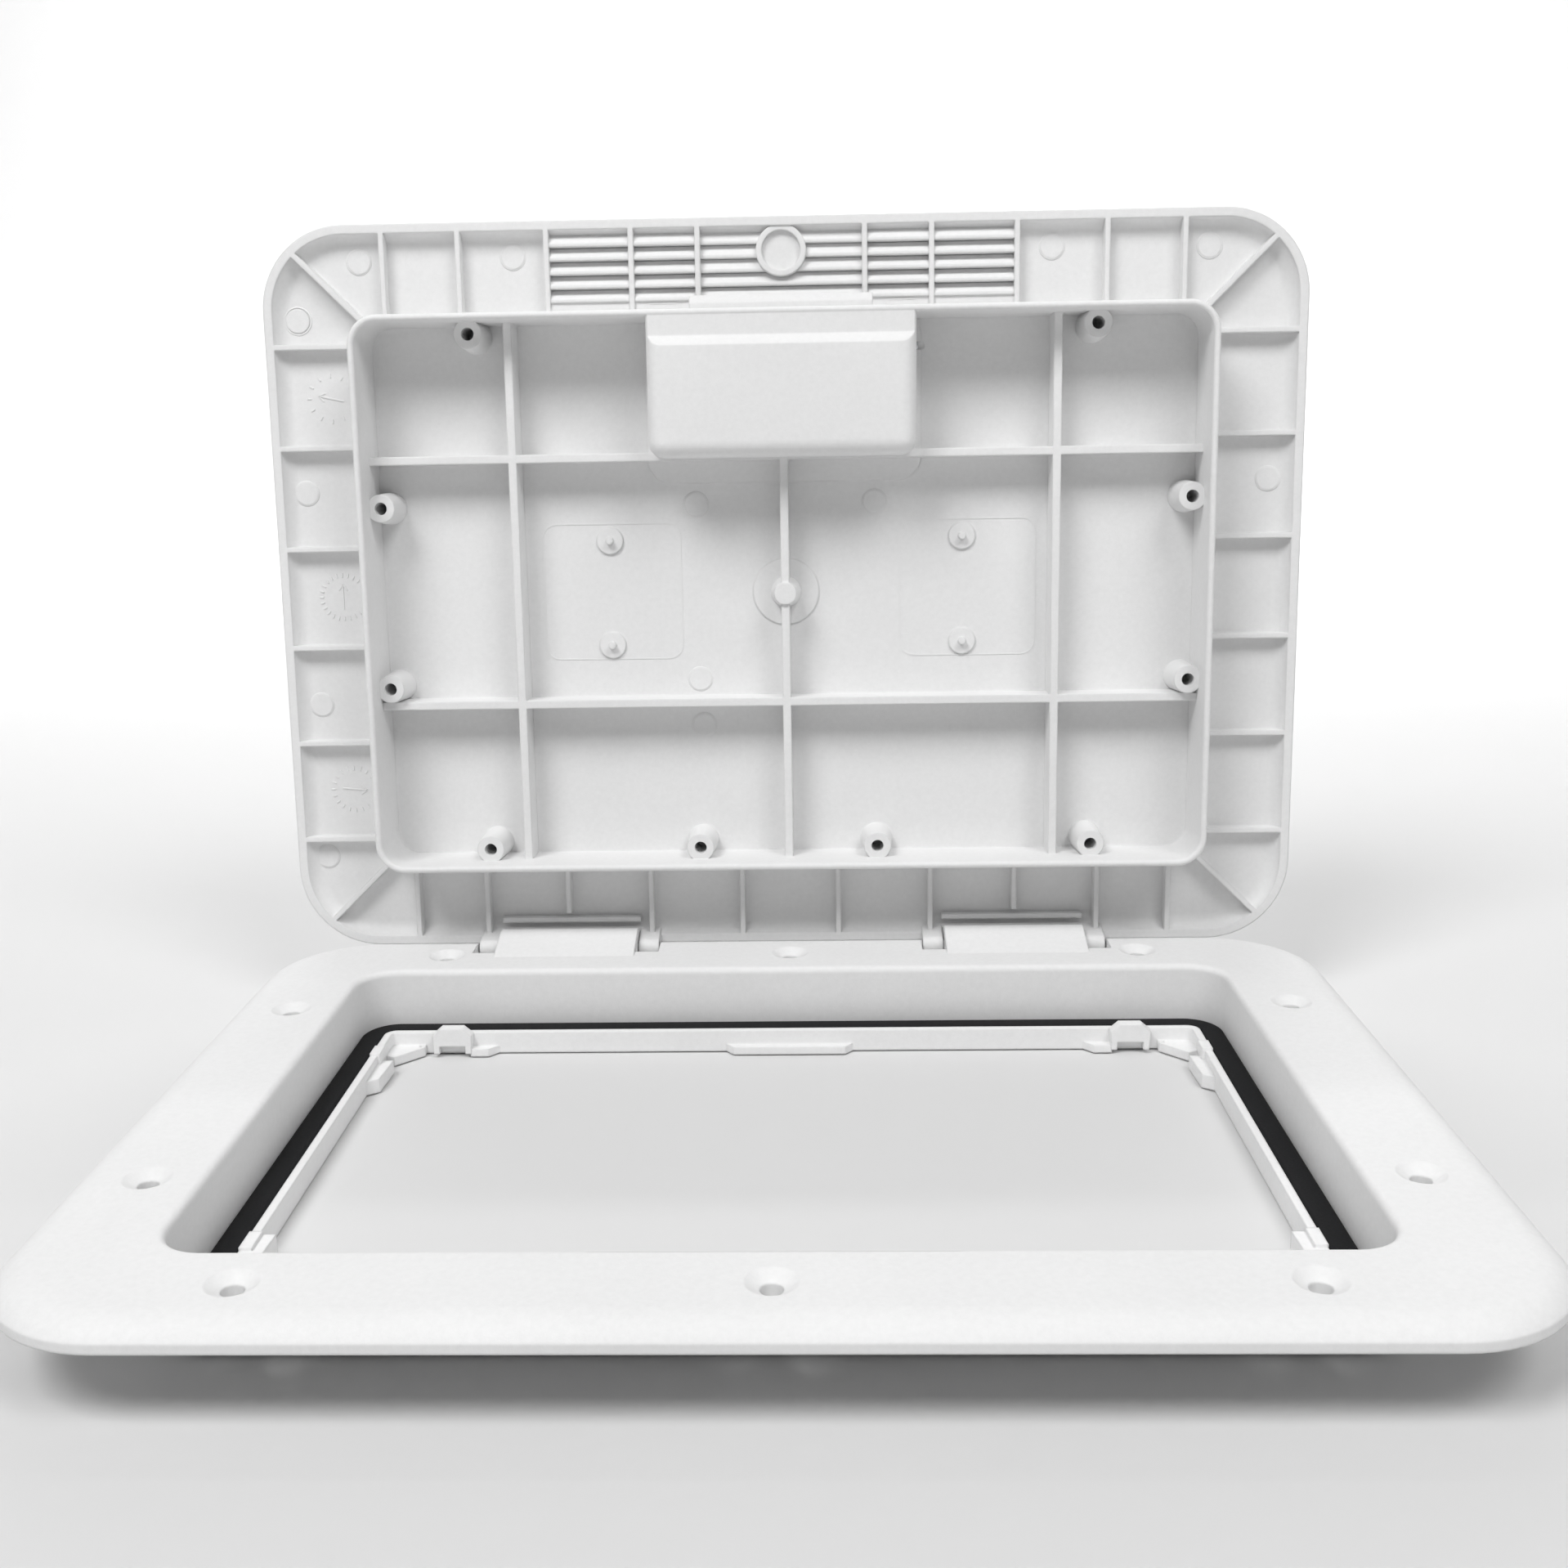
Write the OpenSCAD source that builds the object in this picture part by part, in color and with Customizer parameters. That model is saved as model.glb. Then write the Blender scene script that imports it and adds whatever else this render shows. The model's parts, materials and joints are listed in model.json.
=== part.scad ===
// Deck hatch: a moulded frame with a well, a hinged lid with a ribbed tray, and a slam latch.
// Z = 0 is the deck surface that the flange lies on. The lid is drawn standing open.
// Lid parts are drawn about the hinge axis: x across, -y towards the front edge, z upwards when shut.

/* [Frame] */

// Overall width of the frame, left to right
frame_width = 356; // [300:1:400]
// Overall depth of the frame, front to rear
frame_depth = 255.8; // [220:0.2:300]
// Corner radius of the frame outline
frame_corner_r = 34; // [20:1:40]
// Thickness of the flange above the deck
flange_t = 6.5; // [5:0.1:9]
// Width of the clear opening between the well walls
well_width = 287.2; // [240:0.2:320]
// Depth of the clear opening, front to rear
well_depth = 188.4; // [160:0.2:230]
// How far the middle of the well lies behind the middle of the frame
well_y = -0.8; // [-3:0.1:3]
// Corner radius of the well
well_corner_r = 11.8; // [11:0.2:28]
// How far the well reaches below the deck
well_drop = 18.2; // [14:0.1:30]

/* [Screws] */

// Diameter of a screw hole in the flange
screw_hole_d = 5.4; // [4:0.1:7]
// Diameter of the countersink at the flange surface
countersink_d = 12.4; // [9:0.1:14]
// Depth of the countersink
countersink_t = 2.2; // [1.5:0.1:4]
// Distance between the corner screws, left to right
corner_screw_x = 238.8; // [200:0.2:260]
// Distance between the corner screws, front to rear
corner_screw_y = 218.8; // [190:0.2:240]
// Distance between the side screws, left to right
side_screw_x = 316.6; // [280:0.2:340]
// Distance between the side screws, front to rear
side_screw_y = 117.6; // [90:0.2:150]

/* [Hinge] */

// Distance from the middle of the frame back to the hinge axis
hinge_y = 123.2; // [115:0.1:130]
// Height of the hinge axis above the deck
hinge_z = 4.25; // [3.5:0.05:8]
// How far the lid stands open
open_angle = 93.6; // [0:0.1:93.6]
// Radius of a hinge pin
pin_r = 1.6; // [1.2:0.05:2.5]
// Radius of the barrel on the frame
barrel_r = 6.6; // [5:0.1:9]
// Inner end of a barrel, measured from the middle of the frame
barrel_in = 54.1; // [40:0.1:70]
// Outer end of a barrel, measured from the middle of the frame
barrel_out = 102.7; // [90:0.1:115]

/* [Lid] */

// Width of the lid
lid_width = 349.5; // [290:0.5:360]
// Front to rear size of the lid
lid_depth = 247.6; // [200:0.2:270]
// Gap between the hinge axis and the rear edge of the lid
lid_back_gap = 0.6; // [0:0.1:3]
// Corner radius of the lid outline
lid_corner_r = 28; // [20:1:36]
// Thickness of the lid skin
skin_t = 3; // [2:0.1:4]
// Height of the lid lip above the hinge axis
lip_z = 4.05; // [3.9:0.05:6]
// Width of the tray under the lid
tray_width = 283.6; // [240:0.2:284]
// Front to rear size of the tray
tray_depth = 186.2; // [160:0.2:187]
// Distance from the hinge axis to the rear wall of the tray
tray_back = 30.9; // [29:0.1:34]
// How far the tray rim hangs below the hinge axis
tray_drop = 15.85; // [10:0.05:15.9]
// Height of the ribs inside the tray
rib_h = 12; // [6:0.5:16]
// Height of the screw bosses inside the tray
boss_h = 14.5; // [8:0.5:18]
// Diameter of the screw hole in a boss
boss_hole_d = 4.2; // [3:0.1:5]

/* [Latch] */

// Half width of the handle cup seen under the lid
cup_half_w = 44; // [38:0.5:50]
// Width of the latch bolt
bolt_width = 60; // [40:1:64]
// Thickness of the latch bolt
bolt_t = 3.8; // [3:0.1:4]
// How far the bolt stands out of the tray wall
bolt_reach = 4.9; // [3:0.1:5]
// Radius of the handle pin
handle_pin_r = 1.5; // [1:0.1:2]

/* [Hidden] */

$fn = 72;
eps = 0.01;

edge_w = 8;
edge_arc_r = 10;
mouth_r = 2;
well_wall = 2.8;
ledge_t = 2;
ledge_in = 8;
ring_wall = 2.4;
ring_top = -11.8;
ring_bottom = -19;
bridge_x = 112.5;
gasket_t = 4.1;
gasket_gap = 0.2;
run_gap = 0.05;
snug_gap = 0.02;

knuckle_w = 7;
knuckle_r = 3.2;
knuckle_gap = 0.5;
notch_front = 111.5;
notch_floor = 0.7;
ramp_y = 106.8;

skin_z = lip_z + 4.5;
top_z = skin_z + skin_t;
edge_r = top_z - lip_z;
lid_mid = -(lid_back_gap + lid_depth / 2);
lid_front = lid_back_gap + lid_depth;
tray_wall = 2.2;
tray_corner_r = 10;
tray_mid = -(tray_back + tray_depth / 2);
tray_front = tray_back + tray_depth;
rim_z = -tray_drop;
rib_t = 2.8;
lip_rib_t = 1.8;
rib_inset = 2.8;
tread_h = 0.8;

bosses = [[103.9, 211.2], [136, 154.7], [136, 93.5], [104, 37], [30.7, 37]];
front_ribs = [133.6, 108];
vent_bars = [78.3, 50, 27.8];
rear_ribs = [133, 108, 49.5, 17];
side_ribs = [208.8, 175.2, 141.1, 107.1, 73.5, 39.1];
ejector_marks = [
    [90.2, 237.3], [-90.2, 237.3], [142.4, 236.6], [-142.4, 236.6], [-164.4, 217.8], [164.2, 160.2],
    [-165, 160.2], [-164.4, 86.8], [-165.6, 32.1], [30.6, 154.5], [-30.6, 154.5], [-30.4, 94.3],
    [-29.4, 78.1]
];
stud_marks = [[60.6, 142.5], [60.7, 106.5]];
slat_pitch = 4.5;
slat_front = 244.2;
slat_count = 5;

cup_back = 169.7;
cup_step = 205.4;
cup_face = -18.2;
cup_foot = 208.6;
cup_foot_z = -15.6;
cup_wall = 2;
cup_round = 5;
bay_half_w = cup_half_w - 2.4;
bay_back = cup_back + 2.4;
bay_front = tray_front - tray_wall;
bay_floor = cup_face + cup_wall;
bay_step = 203.4;
bay_step_z = -13.4;
bezel_half_w = 44.6;
bezel_back = 163.6;
bezel_front = 205.2;
tongue_front = 209.8;
tongue_half_w = 30.9;
bezel_floor = 8.8;
bezel_r = 6;

handle_half_w = 44.1;
handle_back = 164.2;
handle_front = 203;
handle_nose = 207.5;
handle_t = 2.4;
handle_top = top_z;
handle_axis_v = 206;
handle_axis_z = 7.4;
handle_hub_r = 3.2;
pin_lug_in = 31;
pin_lug_out = 36;
bolt_z = -9.3;
bolt_tip = tray_front + bolt_reach;
bolt_tail = 190;
guide_z = bolt_z + bolt_t + 0.3;
guide_t = 2;
guide_screw_x = 34.6;
guide_screw_v = 195.2;

// Flat rounded rectangle made of true arcs.
module rounded(w, d, r) {
    square([w - 2 * r, d], center = true);
    square([w, d - 2 * r], center = true);
    for (sx = [-1, 1], sy = [-1, 1])
        translate([sx * (w / 2 - r), sy * (d / 2 - r)])
            circle(r);
}

// Carries a section (outwards from the corner centres, up) round a rounded rectangle.
module around(w, d, r) {
    for (k = [0:3])
        rotate(90 * k) {
            run = (k % 2 == 0 ? w : d) - 2 * r;
            side = (k % 2 == 0 ? d : w) / 2 - r;
            translate([-run / 2, side, 0])
                rotate([90, 0, 90])
                    linear_extrude(run)
                        children();
            translate([run / 2, side, 0])
                rotate_extrude(angle = 90)
                    children();
        }
}

// Block from its low corner to its high corner.
module block(lo, hi) {
    translate(lo)
        cube([hi[0] - lo[0], hi[1] - lo[1], hi[2] - lo[2]]);
}

// The same on both sides of the middle plane.
module both_sides() {
    children();
    mirror([1, 0, 0])
        children();
}

// Round bar along x between two stations.
module bar_x(x0, x1, r) {
    translate([x0, 0, 0])
        rotate([0, 90, 0])
            cylinder(r = r, h = x1 - x0);
}

// Section in the y-z plane carried along x between two stations.
module run_x(x0, x1) {
    translate([x0, 0, 0])
        rotate([90, 0, 90])
            linear_extrude(x1 - x0)
                children();
}

// Moves parts drawn about the hinge axis to the open lid.
module on_lid() {
    translate([0, hinge_y, hinge_z])
        rotate([-open_angle, 0, 0])
            children();
}

// ---------- frame ----------

module screw_spots() {
    for (sx = [-1, 1], sy = [-1, 1]) {
        translate([sx * corner_screw_x / 2, sy * corner_screw_y / 2])
            children();
        translate([sx * side_screw_x / 2, sy * side_screw_y / 2])
            children();
    }
    for (sy = [-1, 1])
        translate([0, sy * corner_screw_y / 2])
            children();
}

// Flange with its rounded outer edge.
module flange_solid() {
    inner_r = frame_corner_r - edge_w;
    linear_extrude(flange_t)
        rounded(frame_width - 2 * edge_w, frame_depth - 2 * edge_w, inner_r);
    around(frame_width, frame_depth, frame_corner_r)
        translate([inner_r, 0])
            intersection() {
                square([edge_w, flange_t]);
                translate([0, flange_t - edge_arc_r])
                    circle(edge_arc_r);
            }
}

// Hollow under the flange, with webs and screw pads left standing.
module flange_pockets() {
    translate([0, 0, -eps])
        linear_extrude(3.2)
            difference() {
                rounded(frame_width - 7, frame_depth - 7, frame_corner_r - 3.5);
                translate([0, well_y])
                    rounded(well_width + 2 * well_wall, well_depth + 2 * well_wall, well_corner_r + well_wall);
                screw_spots()
                    circle(8.5);
                for (x = [-144, -90, -60, -30, 30, 60, 90, 144])
                    translate([x, 0])
                        square([2.4, frame_depth], center = true);
                for (y = [-84, -30, 0, 30, 84])
                    translate([0, y])
                        square([frame_width, 2.4], center = true);
                translate([0, 119])
                    square([2 * barrel_out + 20, 26], center = true);
                translate([0, -99])
                    square([74, 8], center = true);
            }
}

// Barrel and its ramp, as a section through the hinge.
module barrel_ramp() {
    reach = norm([hinge_y - ramp_y, hinge_z - flange_t]);
    rise = atan2(hinge_z - flange_t, hinge_y - ramp_y) + asin(barrel_r / reach);
    len = sqrt(reach * reach - barrel_r * barrel_r);
    polygon([
        [ramp_y, 0.5], [ramp_y, flange_t],
        [ramp_y + len * cos(rise), flange_t + len * sin(rise)],
        [hinge_y, hinge_z], [hinge_y, 0.5]
    ]);
}

module hinge_barrel() {
    run_x(barrel_in, barrel_out)
        barrel_ramp();
    run_x(barrel_in, barrel_out)
        intersection() {
            translate([hinge_y, hinge_z])
                circle(barrel_r);
            translate([hinge_y - 10, 0])
                square([20, 20]);
        }
}

module frame_well() {
    translate([0, well_y, -well_drop])
        linear_extrude(well_drop + 1)
            rounded(well_width + 2 * well_wall, well_depth + 2 * well_wall, well_corner_r + well_wall);
}

// Room inside the well, with the rounded mouth and the gasket ledge left.
module well_room() {
    translate([0, well_y, -well_drop + ledge_t])
        linear_extrude(well_drop + flange_t)
            rounded(well_width, well_depth, well_corner_r);
    translate([0, well_y, -well_drop - 1])
        linear_extrude(ledge_t + 2)
            rounded(well_width - 2 * ledge_in, well_depth - 2 * ledge_in, well_corner_r - ledge_in);
    translate([0, well_y, flange_t - mouth_r])
        around(well_width, well_depth, well_corner_r)
            translate([well_corner_r, 0])
                difference() {
                    translate([-1, 0])
                        square([mouth_r + 1, mouth_r + 1]);
                    translate([mouth_r, 0])
                        circle(mouth_r);
                }
}

module deck_frame() {
    front = well_y - well_depth / 2;
    color("WhiteSmoke")
        difference() {
            union() {
                difference() {
                    flange_solid();
                    flange_pockets();
                }
                frame_well();
                both_sides()
                    hinge_barrel();
                block([-34, front - 5.6, -7.5], [34, front - 1, 1]);
            }
            well_room();
            // screw holes and countersinks
            screw_spots()
                translate([0, 0, -1])
                    cylinder(d = screw_hole_d, h = flange_t + 2);
            screw_spots()
                translate([0, 0, flange_t - countersink_t])
                    cylinder(d1 = screw_hole_d, d2 = countersink_d, h = countersink_t + eps);
            // notches that the lid knuckles turn in
            both_sides() {
                block([barrel_in - knuckle_w - 1.2, notch_front, notch_floor], [barrel_in, 140, 30]);
                block([barrel_out, notch_front, notch_floor], [barrel_out + knuckle_w + 1.2, 140, 30]);
            }
            // pin bores
            both_sides()
                translate([0, hinge_y, hinge_z])
                    bar_x(barrel_in - 1, barrel_out + 1, pin_r + run_gap);
            // keeper slot for the bolt
            block([-31, front - 4.6, -5.7], [31, front + 1, -0.6]);
            // shallow relief in the front edge of the mouth
            translate([0, front, 1])
                linear_extrude(flange_t)
                    polygon([[-46, 0.1], [-42, -1.4], [42, -1.4], [46, 0.1], [46, 3], [-46, 3]]);
        }
}

// ---------- retaining ring and gasket ----------

// Socket on the rear run of the ring: a raised bridge over an open window.
module ring_bridge(back) {
    difference() {
        translate([bridge_x, back + 0.4, 0])
            rotate([90, 0, 0])
                linear_extrude(4)
                    polygon([
                        [-6.2, ring_bottom + 1], [-6.6, ring_top], [-3.6, ring_top + 2.6],
                        [3.6, ring_top + 2.6], [6.6, ring_top], [6.2, ring_bottom + 1]
                    ]);
        block([bridge_x - 4.3, back - 8, ring_bottom - 1], [bridge_x + 4.3, back - 1.2, ring_top - 3.6]);
    }
}

// Lug at a corner of the ring, with its slanted end.
module ring_hook(side, y0, y1, h = 4.5) {
    translate([0, 0, ring_bottom])
        linear_extrude(h)
            polygon([[side + 0.5, y0 - 3], [side - 3.6, y0], [side - 4.4, y1], [side + 0.5, y1]]);
}

module retaining_ring() {
    outer_w = well_width - 2 * ledge_in;
    outer_d = well_depth - 2 * ledge_in;
    outer_r = well_corner_r - ledge_in;
    side = outer_w / 2 - ring_wall;
    back = well_y + outer_d / 2 - ring_wall;
    front = well_y - outer_d / 2 + ring_wall;
    color("White")
        difference() {
            union() {
                translate([0, well_y, ring_bottom])
                    linear_extrude(ring_top - ring_bottom)
                        difference() {
                            rounded(outer_w, outer_d, outer_r);
                            rounded(outer_w - 2 * ring_wall, outer_d - 2 * ring_wall, outer_r - ring_wall);
                        }
                both_sides() {
                    ring_bridge(back);
                    // stop tab beside the bridge
                    translate([0, 0, ring_bottom])
                        linear_extrude(2.6)
                            polygon([
                                [106.5, back + 0.5], [106.5, back - 3.4], [100.5, back - 3.4], [97, back + 0.5]
                            ]);
                    // curved shelf in the rear corner
                    translate([0, 0, ring_bottom])
                        linear_extrude(3)
                            difference() {
                                polygon([
                                    [122, back + 0.5], [side, back + 0.5], [side + 0.5, back - 9],
                                    [side - 3, back - 11], [122, back - 2.6]
                                ]);
                                translate([104, back - 37])
                                    circle(36);
                            }
                    ring_hook(side, back - 32, back - 17);
                    ring_hook(side, front + 14.6, front + 30.6, ring_top - ring_bottom);
                    block([side - 1, front + 22, ring_top - 3], [side + ring_wall, front + 30.6, ring_top + 0.9]);
                    // raised ridge over the ring where the corner starts
                    block([side - 1, back - 20, ring_top - 3], [side + ring_wall, back - 13, ring_top + 0.9]);
                    // snap barbs under the ledge
                    for (y = [-60, -20, 20, 60])
                        block([side, y - 4, ring_bottom], [outer_w / 2 + 0.9, y + 4, -well_drop]);
                    for (x = [30, 75])
                        block([x - 4, back, ring_bottom], [x + 4, back + ring_wall + 0.9, -well_drop]);
                    for (x = [30, 75])
                        block([x - 4, front - ring_wall - 0.9, ring_bottom], [x + 4, front, -well_drop]);
                }
                // middle ledge
                translate([0, 0, ring_bottom])
                    linear_extrude(2.6)
                        polygon([
                            [-21.5, back + 0.5], [-18.5, back - 3.2], [18.5, back - 3.2], [21.5, back + 0.5]
                        ]);
            }
            // relief in the front run for the cup box of the lid
            block([-50, front - 1.3, -17], [50, front + 1, ring_top + 1]);
            // oblong dents in the corner shelves
            both_sides()
                translate([120.5, back - 1.4, ring_bottom + 2.4])
                    linear_extrude(2)
                        rounded(7, 1.6, 0.7);
        }
}

module gasket() {
    outer = 2 * gasket_gap;
    inner = 2 * (ledge_in - gasket_gap);
    color("DimGray")
        translate([0, well_y, -well_drop + ledge_t])
            linear_extrude(gasket_t)
                difference() {
                    rounded(well_width - outer, well_depth - outer, well_corner_r - gasket_gap);
                    rounded(well_width - inner, well_depth - inner, well_corner_r - ledge_in + gasket_gap);
                }
}

// ---------- lid ----------

// Outer skin: a plate with a hollow rounded edge that ends in the lip.
module lid_skin() {
    translate([0, lid_mid, 0]) {
        translate([0, 0, skin_z])
            linear_extrude(skin_t)
                rounded(lid_width - 2 * edge_r, lid_depth - 2 * edge_r, lid_corner_r - edge_r);
        around(lid_width, lid_depth, lid_corner_r)
            translate([lid_corner_r - edge_r, lip_z])
                difference() {
                    intersection() {
                        circle(edge_r);
                        square([edge_r, edge_r]);
                    }
                    circle(edge_r - skin_t);
                }
    }
    // raised tread panel on the outside
    translate([0, tray_mid, top_z - eps])
        linear_extrude(tread_h)
            rounded(tray_width, tray_depth, 16);
}

// Tray wall with a rounded rim.
module tray_walls() {
    rim_r = tray_wall / 2;
    translate([0, tray_mid, 0]) {
        translate([0, 0, rim_z + rim_r])
            linear_extrude(skin_z - rim_z)
                difference() {
                    rounded(tray_width, tray_depth, tray_corner_r);
                    rounded(tray_width - 2 * tray_wall, tray_depth - 2 * tray_wall, tray_corner_r - tray_wall);
                }
        around(tray_width, tray_depth, tray_corner_r)
            translate([tray_corner_r - rim_r, rim_z + rim_r])
                circle(rim_r);
    }
}

module tray_ribs() {
    low = skin_z - rib_h;
    for (x = [-91.2, 91.2])
        block([x - rib_t / 2, -tray_front + 1, low], [x + rib_t / 2, -tray_back - 1, skin_z + 1]);
    block([-rib_t / 2, -cup_back - 1, low], [rib_t / 2, -tray_back - 1, skin_z + 1]);
    for (v = [170.4, 87.3])
        block([-tray_width / 2 + 1, -v - rib_t / 2, low], [tray_width / 2 - 1, -v + rib_t / 2, skin_z + 1]);
}

// Screw bosses with a web to the nearest wall.
module tray_bosses() {
    low = skin_z - boss_h;
    wall_x = tray_width / 2 - 1;
    both_sides()
        for (p = bosses) {
            translate([p[0], -p[1], low])
                cylinder(r1 = 4.7, r2 = 5.4, h = boss_h + 1);
            if (p[0] > 130)
                block([p[0], -p[1] - 0.9, low + 1], [wall_x, -p[1] + 0.9, skin_z + 1]);
            else if (p[1] > 100)
                block([p[0] - 0.9, -tray_front + 1, low + 1], [p[0] + 0.9, -p[1], skin_z + 1]);
            else
                block([p[0] - 0.9, -p[1], low + 1], [p[0] + 0.9, -tray_back - 1, skin_z + 1]);
        }
}

// Ribs between the tray and the lip, flush with the lip.
module lip_ribs() {
    half = lip_rib_t / 2;
    in_x = tray_width / 2 - 1;
    out_x = lid_width / 2 - rib_inset;
    both_sides() {
        for (x = concat(front_ribs, vent_bars))
            block([x - half, -lid_front + rib_inset, lip_z], [x + half, -tray_front + 1, skin_z + 1]);
        for (x = rear_ribs)
            block([x - half, -tray_back - 1, lip_z], [x + half, -lid_back_gap - rib_inset, skin_z + 1]);
        block([79 - half, -tray_back - 1, lip_z], [79 + half, -11.5, skin_z + 1]);
        for (v = side_ribs)
            block([in_x, -v - half, lip_z], [out_x, -v + half, skin_z + 1]);
        translate([tray_width / 2 - 3, -tray_front + 3, lip_z])
            rotate(-45)
                translate([0, -half, 0])
                    cube([35, lip_rib_t, skin_z + 1 - lip_z]);
        translate([tray_width / 2 - 3, -tray_back - 3, lip_z])
            rotate(44)
                translate([0, -half, 0])
                    cube([34.5, lip_rib_t, skin_z + 1 - lip_z]);
    }
}

// Stepped slats between the vent bars, deeper in the side cells than in the middle one.
module slat_cell(x0, x1, deep) {
    run_x(x0, x1)
        for (i = [0:slat_count - 1]) {
            v = slat_front - i * slat_pitch;
            polygon([
                [-v + 0.2, skin_z + 0.5], [-v + slat_pitch, skin_z + 0.5],
                [-v + slat_pitch, lip_z + deep], [-v + slat_pitch - 1.1, lip_z + deep],
                [-v + 0.2, skin_z - 0.9]
            ]);
        }
}

module vent_panel() {
    both_sides() {
        slat_cell(vent_bars[1], vent_bars[0], 0.3);
        slat_cell(vent_bars[2], vent_bars[1], 0.3);
    }
    difference() {
        slat_cell(-vent_bars[2], vent_bars[2], 1.6);
        translate([0, -237.4, 0])
            cylinder(r = 8.2, h = skin_z);
    }
    translate([0, -237.4, 0])
        difference() {
            translate([0, 0, lip_z + 0.4])
                cylinder(r = 8.4, h = skin_z - lip_z);
            translate([0, 0, 0])
                cylinder(r = 6.4, h = lip_z + 1.9);
        }
    // plain strip along the foot of the panel
    block([-vent_bars[0], -tray_front - 4.6, lip_z + 0.9], [vent_bars[0], -tray_front + 1, skin_z + 1]);
}

// Mould marks: gate stub, stud marks and ejector circles.
module mould_marks() {
    translate([0, -124.3, skin_z - 0.5])
        cylinder(r = 11.4, h = 1);
    translate([0, -124.3, skin_z - rib_h - 0.8])
        cylinder(r1 = 3.8, r2 = 5.3, h = rib_h + 1);
    both_sides() {
        for (p = stud_marks)
            translate([p[0], -p[1], 0]) {
                translate([0, 0, skin_z - 0.7])
                    cylinder(r = 4.6, h = 1);
                translate([0, 0, skin_z - 2.6])
                    cylinder(r = 1.3, h = 3);
            }
    }
    for (p = ejector_marks)
        translate([p[0], -p[1], skin_z - 0.3])
            cylinder(r = 4, h = 1);
}

// Box under the lid that the handle works in, with soft edges.
module cup_box() {
    r = cup_round;
    w = cup_half_w;
    front = tray_front - 1;
    face = cup_face;
    step_z = face + r;
    difference() {
        union() {
            block([-w, -front, step_z], [w, -cup_back - r, skin_z + 1]);
            block([-w + r, -front, step_z], [w - r, -cup_back, skin_z + 1]);
            block([-w + r, -front, face], [w - r, -cup_back - r, step_z + 1]);
            for (sx = [-1, 1]) {
                translate([sx * (w - r), -cup_back - r, 0]) {
                    translate([0, 0, step_z])
                        cylinder(r = r, h = skin_z - step_z);
                    translate([0, 0, step_z])
                        sphere(r);
                }
                translate([sx * (w - r), -cup_back - r, step_z])
                    rotate([90, 0, 0])
                        cylinder(r = r, h = front - cup_back - r);
            }
            translate([0, -cup_back - r, step_z])
                bar_x(-w + r, w - r, r);
        }
        // slope down to the level of the tray rim
        run_x(-w - 1, w + 1)
            polygon([
                [-cup_step, face], [-cup_foot, cup_foot_z], [-front - 1, cup_foot_z],
                [-front - 1, face - 2], [-cup_step, face - 2]
            ]);
    }
    // shallow step round the box, under the handle recess
    translate([0, -(bezel_back - 2 + tray_front) / 2, bezel_floor - 2.3])
        linear_extrude(3)
            rounded(2 * bezel_half_w + 4, tray_front - bezel_back + 2, bezel_r + 2);
}

// Recess, bay and slot that the latch parts go into.
module latch_room() {
    translate([0, 0, bezel_floor])
        linear_extrude(10) {
            translate([0, -(bezel_back + bezel_front) / 2])
                rounded(2 * bezel_half_w, bezel_front - bezel_back, bezel_r);
            translate([0, -(bezel_front - 8 + tongue_front) / 2])
                rounded(2 * tongue_half_w, tongue_front - bezel_front + 8, 0.6);
        }
    difference() {
        union() {
            block([-bay_half_w, -bay_step, bay_floor], [bay_half_w, -bay_back, bezel_floor + eps]);
            block([-bay_half_w, -bay_front, bay_step_z], [bay_half_w, -bay_step + 1, bezel_floor + eps]);
        }
        // rails under the bolt
        both_sides()
            block([13, -bay_front - 1, bay_floor - 1], [15, -188, bolt_z - 0.3]);
        // lugs that carry the handle pin
        both_sides()
            block([pin_lug_in, -bay_front - 1, bay_floor - 1], [pin_lug_out, -bay_front + 12, bezel_floor + 1]);
        // posts for the guide screws
        both_sides()
            translate([guide_screw_x, -guide_screw_v, bay_floor - 1])
                cylinder(r = 3, h = guide_z - bay_floor + 1);
    }
    block([-bolt_width / 2 - 0.4, -tray_front - 1, bolt_z - 0.3],
          [bolt_width / 2 + 0.4, -bay_front + 1, bolt_z + bolt_t + 0.3]);
    translate([0, -handle_axis_v, handle_axis_z])
        bar_x(-pin_lug_out + 1, bezel_half_w + 3, handle_pin_r + snug_gap);
    both_sides()
        translate([guide_screw_x, -guide_screw_v, guide_z - 6.4])
            cylinder(d = 2.2, h = 10);
}

// Knuckle with the web that ties it to the lid.
module lid_knuckle(x0) {
    x1 = x0 + knuckle_w;
    bar_x(x0, x1, knuckle_r);
    run_x(x0, x1)
        polygon([[1.2, 0], [-3.2, 0], [-4.4, 4.5], [-5.6, skin_z + 0.5], [-4, skin_z + 1.5], [0, lip_z + 1.5]]);
}

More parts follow.
